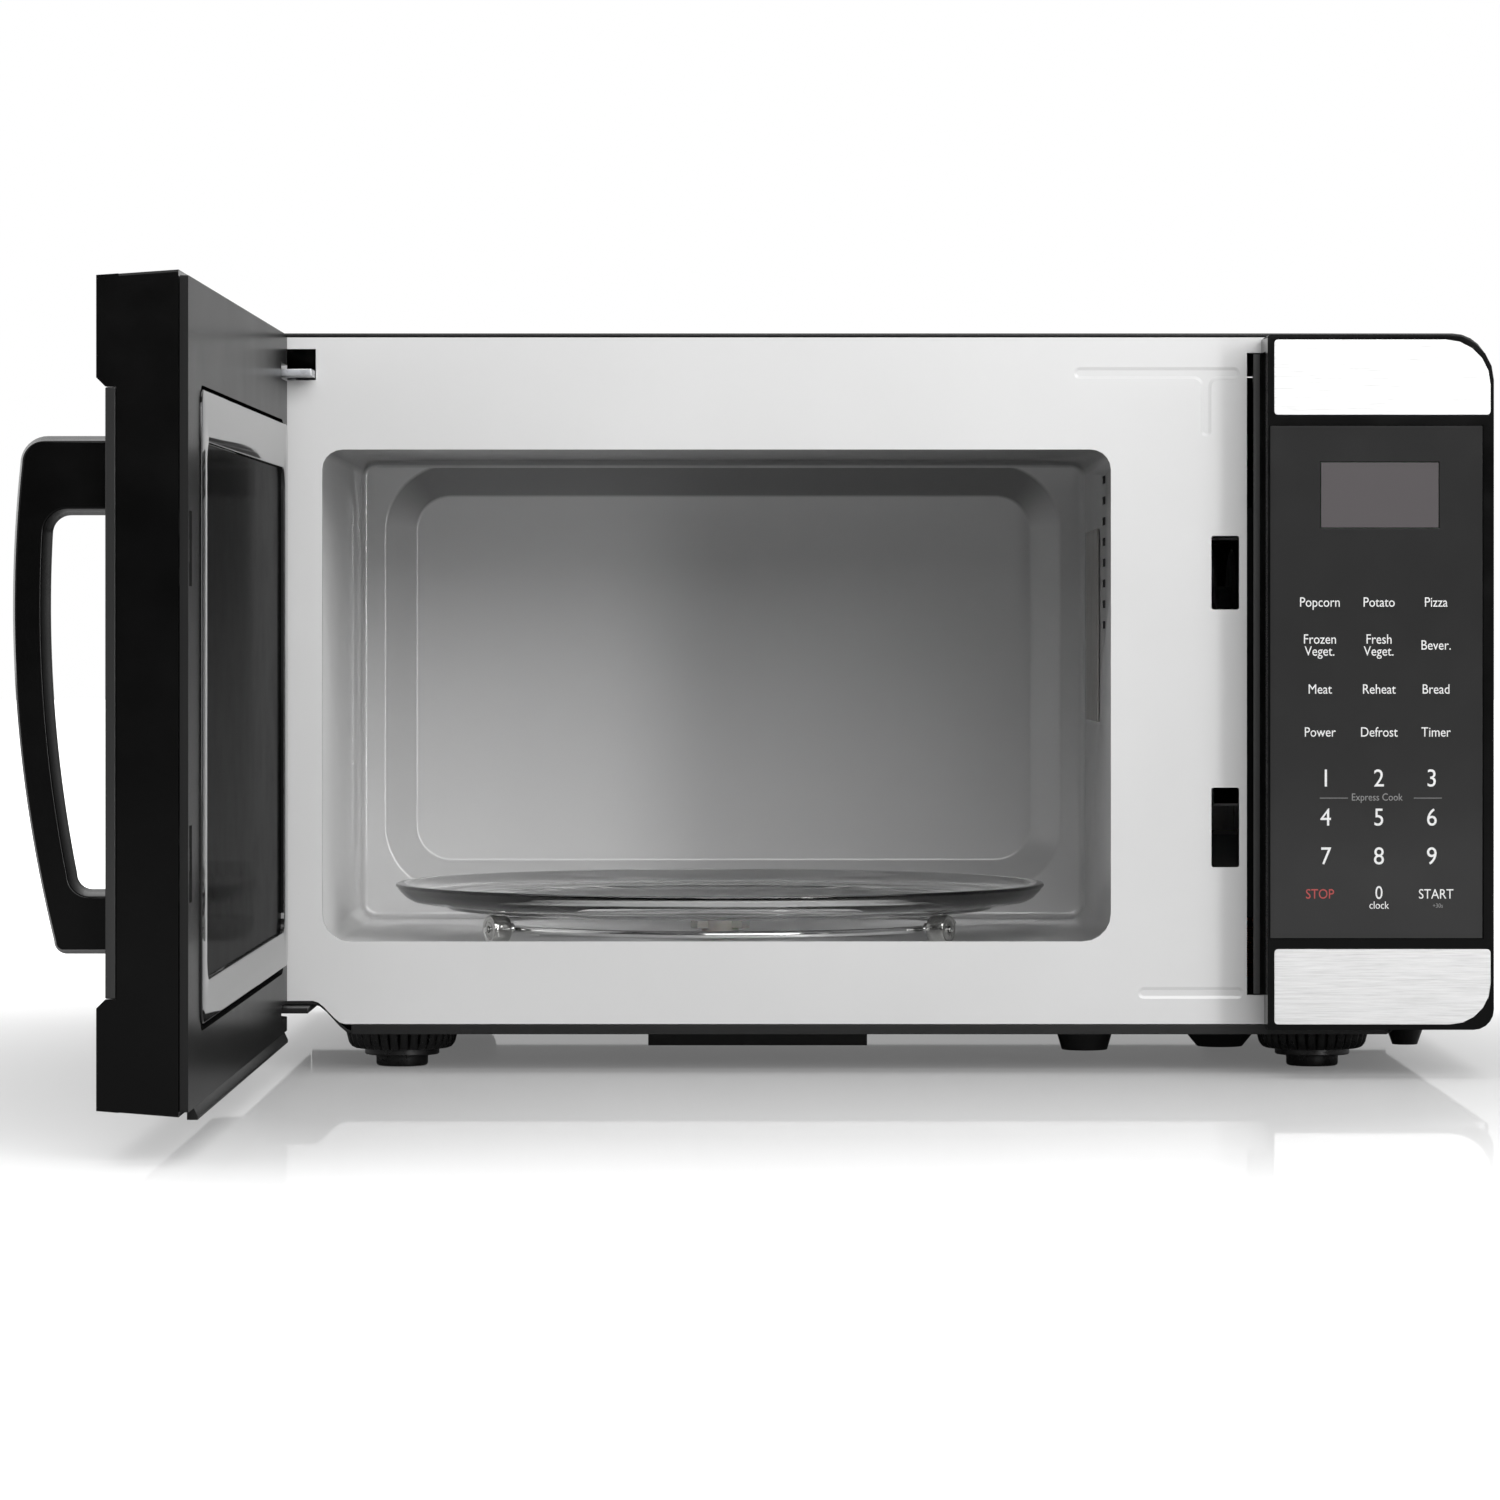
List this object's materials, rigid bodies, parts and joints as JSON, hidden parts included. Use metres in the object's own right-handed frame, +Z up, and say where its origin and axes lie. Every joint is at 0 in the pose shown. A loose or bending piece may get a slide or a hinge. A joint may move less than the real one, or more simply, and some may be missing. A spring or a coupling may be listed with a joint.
{
  "type": "microwave oven",
  "caption": "Countertop microwave oven with a side-hinged door, a bow handle, a touch control panel, a glass turntable on a roller ring, and its working parts inside.",
  "frame": {"origin": "on the worktop, under the middle of the oven's outline as it stands with its door open at a right angle", "axes": "+Z up, +Y from the front of the oven towards its back, +X to the right as seen by a person in front of it"},
  "size_m": [0.526, 0.7736, 0.2884],
  "materials": {
    "black_paint": "satin black powder coat",
    "grey_paint": "light grey enamel, satin",
    "black_plastic": "gloss black moulding",
    "dark_grey_plastic": "fine-grained dark grey moulding",
    "brushed_steel": "brushed along its length",
    "black_glass": "polished, backed with black",
    "display_glass": "smoked grey window",
    "clear_glass": "clear tempered",
    "chrome": "polished",
    "zinc_steel": "zinc-plated sheet",
    "aluminium": "plain",
    "rubber": "matt black",
    "white_plastic": "off-white moulding",
    "mica": "grey-brown mica sheet",
    "circuit_board": "green solder mask",
    "iron_core": "varnished laminations",
    "copper_wire": "enamelled copper winding"
  },
  "bodies": {
    "cabinet": {"outer_wrapper": "black_paint", "base_plate": "black_paint", "rear_panel": "black_paint", "lower_hinge_bracket": "black_paint", "front_plate": "grey_paint", "cavity_liner": "grey_paint", "interlock_bracket": "black_plastic", "panel_housing": "black_plastic", "switch_primary": "black_plastic", "switch_monitor": "black_plastic", "switch_secondary": "black_plastic", "thermal_cutout": "black_plastic", "fan_shroud": "black_plastic", "hv_diode": "black_plastic", "panel_trim_top": "brushed_steel", "panel_trim_bottom": "brushed_steel", "touch_panel": "black_glass", "display_window": "display_glass", "lamp_bulb": "clear_glass", "upper_hinge_bracket": "zinc_steel", "turntable_motor": "zinc_steel", "waveguide": "zinc_steel", "magnetron_yoke": "zinc_steel", "magnetron_filter_box": "zinc_steel", "magnetron_anode": "aluminium", "capacitor": "aluminium", "foot_front_left": "rubber", "foot_front_right": "rubber", "foot_rear_left": "rubber", "foot_rear_right": "rubber", "cord_gland": "rubber", "lamp_socket": "white_plastic", "waveguide_cover": "mica", "control_board": "circuit_board", "noise_filter_board": "circuit_board", "transformer_core": "iron_core", "fan_motor": "iron_core", "primary_winding": "copper_wire", "secondary_winding": "copper_wire"},
    "door": {"door_frame": "black_plastic", "door_trim_top": "brushed_steel", "door_trim_bottom": "brushed_steel", "door_glass": "black_glass", "door_inner_panel": "black_paint", "choke_cover": "dark_grey_plastic", "window_pane": "black_glass", "door_handle": "black_plastic", "upper_hinge_pin": "zinc_steel", "lower_hinge_pin": "zinc_steel"},
    "latch": {"latch_hooks": "black_plastic"},
    "turntable": {"motor_shaft": "white_plastic", "drive_coupler": "white_plastic", "glass_turntable": "clear_glass"},
    "roller_ring": {"roller_ring": "chrome"},
    "roller_1": {"roller_1": "chrome"},
    "roller_2": {"roller_2": "chrome"},
    "roller_3": {"roller_3": "chrome"},
    "fan": {"fan_shaft": "zinc_steel", "fan_blade": "white_plastic"}
  },
  "joints": [
    {"name": "door_hinge", "type": "hinge", "parent": "cabinet", "child": "door", "pos_m": [-0.2144, 0.00035, 0.15], "axis": [0, 0, -1], "range_deg": [-90, 0]},
    {"name": "latch_slide", "type": "slide", "parent": "door", "child": "latch", "axis": [1, 0, 0], "range_m": [0, 0.0125]},
    {"name": "turntable_spin", "type": "hinge", "parent": "cabinet", "child": "turntable", "pos_m": [-0.0374, 0.17685, 0.05], "axis": [0, 0, 1], "continuous": true},
    {"name": "fan_spin", "type": "hinge", "parent": "cabinet", "child": "fan", "pos_m": [0.195, 0.33485, 0.157], "axis": [0, 1, 0], "continuous": true},
    {"name": "roller_ring_spin", "type": "hinge", "parent": "cabinet", "child": "roller_ring", "pos_m": [-0.0374, 0.17685, 0.05], "axis": [0, 0, 1], "continuous": true},
    {"name": "roller_1_spin", "type": "hinge", "parent": "roller_ring", "child": "roller_1", "pos_m": [-0.0374, 0.28135, 0.05], "axis": [0, 1, 0], "continuous": true},
    {"name": "roller_2_spin", "type": "hinge", "parent": "roller_ring", "child": "roller_2", "pos_m": [-0.1279, 0.1246, 0.05], "axis": [-0.866, -0.5, 0], "continuous": true},
    {"name": "roller_3_spin", "type": "hinge", "parent": "roller_ring", "child": "roller_3", "pos_m": [0.0531, 0.1246, 0.05], "axis": [0.866, -0.5, 0], "continuous": true}
  ],
  "couplings": [
    {"joint": "roller_ring_spin", "follows": "turntable_spin", "ratio": 0.5},
    {"joint": "roller_1_spin", "follows": "turntable_spin", "ratio": -8.7083},
    {"joint": "roller_2_spin", "follows": "turntable_spin", "ratio": -8.7083},
    {"joint": "roller_3_spin", "follows": "turntable_spin", "ratio": -8.7083}
  ]
}
